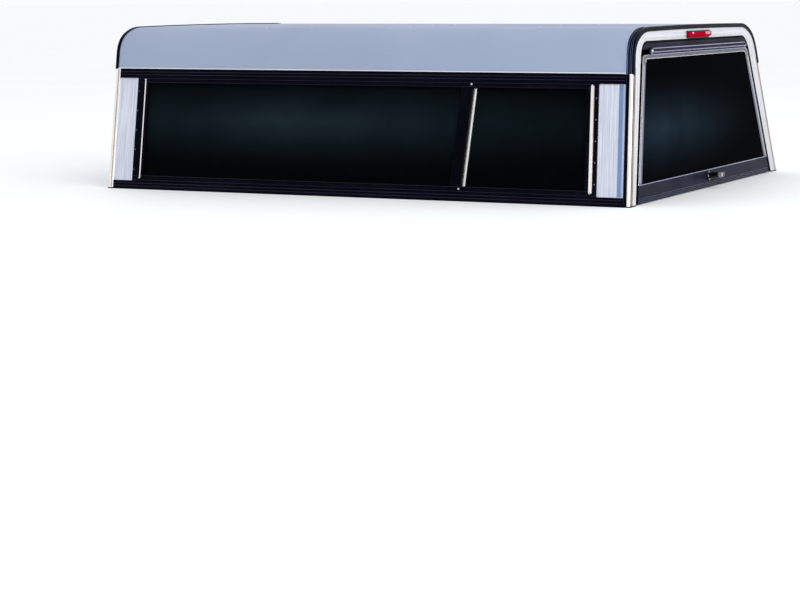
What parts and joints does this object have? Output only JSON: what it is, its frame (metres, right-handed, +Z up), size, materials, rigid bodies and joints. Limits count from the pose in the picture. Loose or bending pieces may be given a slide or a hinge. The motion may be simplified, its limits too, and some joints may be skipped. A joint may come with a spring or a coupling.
{
  "type": "pickup truck canopy",
  "caption": "Framed pickup bed canopy with leaning sides, dark side and rear windows, and a rear door that lifts.",
  "frame": {"origin": "centre of the base footprint, on the underside of the base rails", "axes": "+Y forward to the cab, +X to the right side, +Z up; the rear door faces -Y"},
  "size_m": [1.7384, 2.1645, 0.5966],
  "materials": {
    "body_paint": "satin silver blue",
    "mill_aluminium": "mill, fine vertical grain",
    "black_trim": "satin black",
    "tinted_glass": "dark tint, clear gloss",
    "white_frame": "gloss silver white",
    "seal_rubber": "matt",
    "grey_anodised": "satin anodised",
    "lamp_black": "fine grain",
    "red_lens": "clear red, moulded prisms",
    "bright_bead": "polished, fluted",
    "black_handle": "fine grain",
    "key_metal": "polished"
  },
  "bodies": {
    "canopy": {"roof_skin": "body_paint", "roof_bows": "mill_aluminium", "front_roof_trim": "black_trim", "rear_roof_trim": "black_trim", "front_base_rail": "black_trim", "front_wall": "body_paint", "front_window_frame": "black_trim", "front_window_glass": "tinted_glass", "rear_frame": "white_frame", "rear_seal": "seal_rubber", "header_hinge_leaf": "grey_anodised", "brake_lamp_housing": "lamp_black", "brake_lamp_lens": "red_lens", "left_base_rail": "black_trim", "left_upper_rail": "black_trim", "left_front_post": "bright_bead", "left_rear_post": "black_trim", "left_front_infill": "mill_aluminium", "left_rear_infill": "mill_aluminium", "left_window_frame": "black_trim", "left_fixed_glass": "tinted_glass", "left_sliding_glass": "tinted_glass", "left_sash_strip": "bright_bead", "left_rear_bead": "bright_bead", "right_base_rail": "black_trim", "right_upper_rail": "black_trim", "right_front_post": "bright_bead", "right_rear_post": "black_trim", "right_front_infill": "mill_aluminium", "right_rear_infill": "mill_aluminium", "right_window_frame": "black_trim", "right_fixed_glass": "tinted_glass", "right_sliding_glass": "tinted_glass", "right_sash_strip": "bright_bead", "right_rear_bead": "bright_bead"},
    "rear_door": {"door_frame": "grey_anodised", "door_bottom_rail": "grey_anodised", "door_glass": "tinted_glass", "door_hinge_leaf": "grey_anodised", "door_wiper": "seal_rubber", "door_edge_seal": "seal_rubber", "handle_base": "black_handle"},
    "door_handle": {"handle_lever": "black_handle", "lock_cylinder": "key_metal"}
  },
  "joints": [
    {"name": "door_lift", "type": "hinge", "parent": "canopy", "child": "rear_door", "pos_m": [0, -0.98733, 0.51204], "axis": [-1, 0, 0], "range_deg": [0, 85]},
    {"name": "door_handle_turn", "type": "hinge", "parent": "rear_door", "child": "door_handle", "pos_m": [0, -1.02473, 0.044], "axis": [0, -0.9953, 0.0965], "range_deg": [0, 90]}
  ]
}
